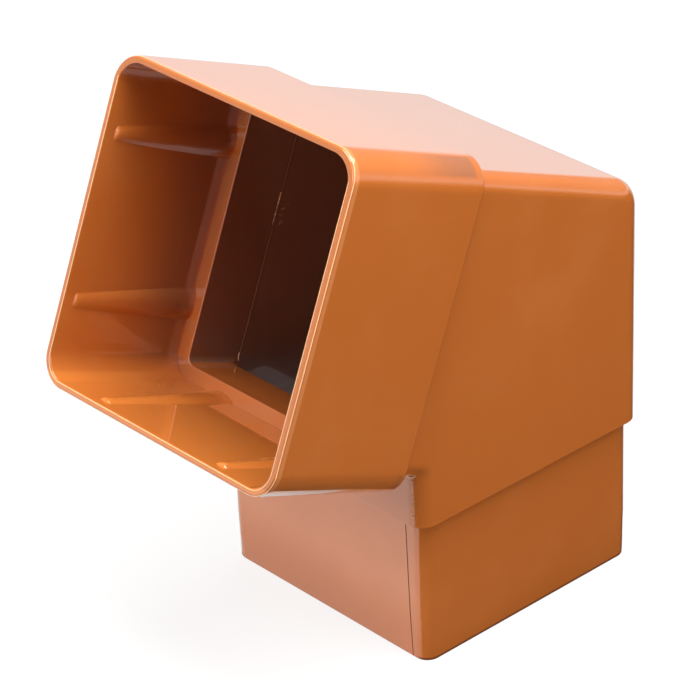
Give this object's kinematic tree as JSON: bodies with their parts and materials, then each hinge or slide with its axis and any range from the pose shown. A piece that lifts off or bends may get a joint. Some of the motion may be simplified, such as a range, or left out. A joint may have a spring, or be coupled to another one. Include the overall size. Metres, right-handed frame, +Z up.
{
  "type": "downspout elbow",
  "caption": "Square downspout elbow moulded in one piece: a ribbed socket for the pipe above, a mitred bend and a stepped-in spigot for the pipe below.",
  "frame": {"origin": "centre of the spigot's foot, on the plane that it stands on", "axes": "+Z up the spigot's axis, -Y towards the side that the socket opens to, X across the plane of symmetry"},
  "size_m": [0.0886, 0.1342, 0.1579],
  "materials": {
    "pvc": "smooth orange-brown PVC, glossy from the mould"
  },
  "bodies": {
    "root": {"elbow": "pvc"}
  },
  "joints": []
}
